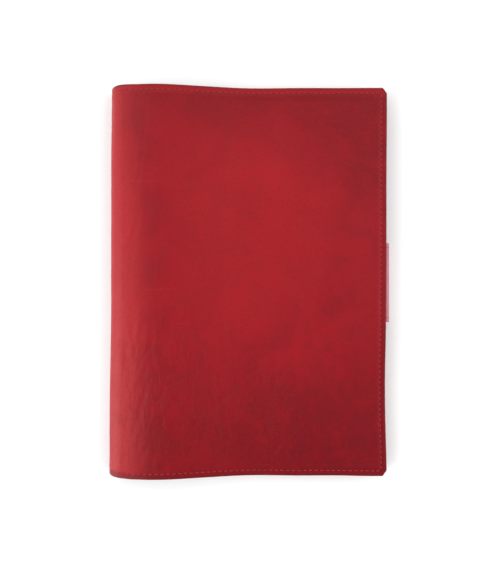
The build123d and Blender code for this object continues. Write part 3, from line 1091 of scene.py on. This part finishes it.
def hem_thread(side, label):
    """The row of stitches behind a pocket's mouth, on the face that shows when it is open."""
    stack, mouth, sag = SIDES[side][2:]
    start = (mouth + side * HEM_SEAM, -HALF_Y + HEM)
    pitch = 2 * (HALF_Y - HEM) / HEM_STITCHES

    def face(s, y):
        return stack - THREAD_SUNK - pocket_sag(s, y, sag)

    rows = [(start, (0.0, pitch), HEM_STITCHES, face, -1)]
    obj = dress(threads(f"{label}_hem_seam", rows, place, plunge=0.4), THREAD)
    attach(obj, f"{label}_cover")
    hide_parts(f"{label}_pocket_hem_stitching")


hem_thread(1, "front")
hem_thread(-1, "back")

# ---- pen loop

ROOT_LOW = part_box("pen_loop_root")[0]
LOOP_LOW, LOOP_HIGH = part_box("pen_loop")
ROOT_X = ROOT_LOW.x / MM
ROOT_Z = ROOT_LOW.z / MM + PLY + LOOP_SLOT / 2
LOOP_X = LOOP_LOW.x / MM
LOOP_Z = LOOP_HIGH.z / MM - PLY - LOOP_SLOT / 2
TURN_RADIUS = (LOOP_Z - ROOT_Z) / 2
PLY_MID = (PLY + LOOP_SLOT) / 2
TURN_X = LOOP_HIGH.x / MM - TURN_RADIUS - PLY_MID - PLY / 2 - LOOP_SHORT


def strap_path(step=0.1):
    """The middle line of the strap, from its lower end round the flattened loop to its upper
    end, as places and headings at an even step."""
    outer, inner = TURN_RADIUS + PLY_MID, TURN_RADIUS - PLY_MID
    run_root = TURN_X - ROOT_X
    run_loop = TURN_X - LOOP_X - PLY_MID - PLY / 2
    moves = [
        (run_root, 0.0),
        (math.pi * outer, math.pi),
        (run_loop, 0.0),
        (math.pi * PLY_MID, math.pi),
        (run_loop, 0.0),
        (math.pi * inner, -math.pi),
        (run_root, 0.0),
    ]
    ends = np.cumsum([0.0, *(length for length, _ in moves)])
    turned = np.cumsum([0.0, *(turn for _, turn in moves)])
    at = np.arange(0.0, ends[-1], step)
    heading = np.interp(at, ends, turned)
    middle = (heading[:-1] + heading[1:]) / 2
    x = ROOT_X + np.concatenate([[0], np.cumsum(np.cos(middle) * step)])
    z = ROOT_Z - PLY_MID + np.concatenate([[0], np.cumsum(np.sin(middle) * step)])
    return at, x, z, heading, ends


STRAP_AT, STRAP_X, STRAP_Z, STRAP_HEADING, STRAP_ENDS = strap_path()


def place_strap(u, v, depth):
    """A place on the strap: u along it, v across it, depth in from its outer face."""
    x = np.interp(u, STRAP_AT, STRAP_X)
    z = np.interp(u, STRAP_AT, STRAP_Z)
    heading = np.interp(u, STRAP_AT, STRAP_HEADING)
    inward = depth - PLY / 2
    x = x - np.sin(heading) * inward
    z = z + np.cos(heading) * inward
    return np.stack([x, v + LOOP_OFF_CENTRE, z], axis=-1) * MM


def strap_edge(u, v):
    return LOOP_HALF_WIDTH - np.abs(v)


def strap_seam(u, v):
    """How far the two rows of stitches draw the strap in."""
    return 0.10 * hump(strap_edge(u, v) - LOOP_SEAM, 0.7)


def strap_face(u, v):
    return edge_roll(strap_edge(u, v), STRAP_ROUND) + strap_seam(u, v)


def strap_back(u, v):
    return PLY - edge_roll(strap_edge(u, v), STRAP_ROUND)


TURN_MIDDLE = (STRAP_ENDS[1] + STRAP_ENDS[2]) / 2
TURN_REACH = (STRAP_ENDS[2] - STRAP_ENDS[1]) / 2
# The strap's pink colours are painted sheen, with painted shade on its turn.
LOOP_LEATHER = plain_leather("loop_leather", LOOP_SHEEN_DEEP, LOOP_SHEEN_LIGHT, 0.32, 1.8, coat=0.35,
                             bend_shade=(TURN_MIDDLE, TURN_REACH, LOOP_BEND_SHADE))
STRAP_LINES = np.linspace(0, STRAP_AT[-1], int(STRAP_AT[-1] / 0.22))
pen_loop = sheet("pen_loop_strap", STRAP_LINES, lines(-LOOP_HALF_WIDTH, LOOP_HALF_WIDTH, 0.9),
                 place_strap, strap_face, strap_back, coarse=1, edge_slot=False)
dress(pen_loop, LOOP_LEATHER)

LOOP_STITCHES = 12
LOOP_PITCH = 2.2
LOOP_THREAD = 0.2
FIRST_STITCH = STRAP_ENDS[1] - 0.4
strap_rows = [((FIRST_STITCH, v), (LOOP_PITCH, 0.0), LOOP_STITCHES, strap_seam, 1)
              for v in (LOOP_HALF_WIDTH - LOOP_SEAM, LOOP_SEAM - LOOP_HALF_WIDTH)]
loop_seam = dress(threads("pen_loop_seam", strap_rows, place_strap, LOOP_THREAD, plunge=0.22), THREAD)

for piece, nodes, slot in (
    (pen_loop, ["pen_loop_root", "pen_loop"], "loop_leather"),
    (loop_seam, ["pen_loop_stitching"], "thread"),
):
    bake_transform(piece)
    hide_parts(*nodes)

# ---- floor, light and camera

# The paper glows faintly, so that the shadows on it stay pale.
FLOOR_HALF = 3.0
FLOOR_GREY = 0.90
FLOOR_GLOW = 0.10
# A bright room that is dimmer towards the horizon, darker straight above, and darkest where
# somebody would stand to look down. Each dark part is an axis, the cosines where it begins and is
# darkest, and the share of the light that is left.
ROOM = 1.70
HORIZON_LEFT = 0.50
HORIZON_TOP = 0.36
OVERHEAD = ((0.10, 0.06, 1.0), 0.60, 0.93, 0.26)
ONLOOKER = ((0.12, -0.60, 0.79), 0.76, 0.96, 0.02)
CAMERA_HEIGHT = 0.2871


def stage_floor():
    corners = [(x * FLOOR_HALF, y * FLOOR_HALF, 0) for x, y in ((-1, -1), (1, -1), (1, 1), (-1, 1))]
    floor = mesh_object("floor", corners, [[0, 1, 2, 3]])
    material, tree, shader = new_material("studio_paper")
    fill(tree, shader, {"Base Color": (*[FLOOR_GREY] * 3, 1), "Emission Color": (1, 1, 1, 1)})
    fill(tree, shader, {"Emission Strength": FLOOR_GLOW, "Roughness": 0.9, "Specular IOR Level": 0.1})
    dress(floor, material)


def area_light(name, at, size, power):
    """A rectangle of light that faces the cover."""
    data = bpy.data.lights.new(name, "AREA")
    data.energy = power
    data.shape = "RECTANGLE"
    data.size, data.size_y = size
    lamp = bpy.data.objects.new(name, data)
    lamp.location = at
    lamp.rotation_euler = (-Vector(at)).to_track_quat("-Z", "Y").to_euler()
    bpy.context.scene.collection.objects.link(lamp)


def studio():
    world = bpy.data.worlds.new("studio")
    bpy.context.scene.world = world
    world.use_nodes = True
    tree = world.node_tree
    direction = node(tree, "ShaderNodeTexCoord").outputs["Generated"]
    up = node(tree, "ShaderNodeSeparateXYZ", {0: direction}).outputs["Z"]
    light = times(tree, ramp(tree, up, 0.0, HORIZON_TOP, HORIZON_LEFT, 1.0), ROOM)
    for axis, start, full, left in (OVERHEAD, ONLOOKER):
        axis = Vector(axis).normalized()
        facing = node(tree, "ShaderNodeVectorMath", {0: direction, 1: axis}, operation="DOT_PRODUCT")
        light = times(tree, ramp(tree, facing.outputs["Value"], start, full, 1.0, left), light)
    fill(tree, tree.nodes["Background"], {"Strength": light, "Color": (1, 1, 1, 1)})
    area_light("window", (-1.10, -0.35, 0.50), (0.8, 1.3), 8.0)
    area_light("wall", (1.00, 0.10, 0.55), (0.9, 1.4), 5.0)


def camera():
    data = bpy.data.cameras.new("camera")
    data.sensor_width = 36.0
    data.lens = 31.04
    data.clip_start = 0.01
    cam = bpy.data.objects.new("camera", data)
    cam.location = (0.0, 0.0, CAMERA_HEIGHT)
    bpy.context.scene.collection.objects.link(cam)
    bpy.context.scene.camera = cam


stage_floor()
studio()
camera()
bpy.context.scene.view_settings.view_transform = "Standard"
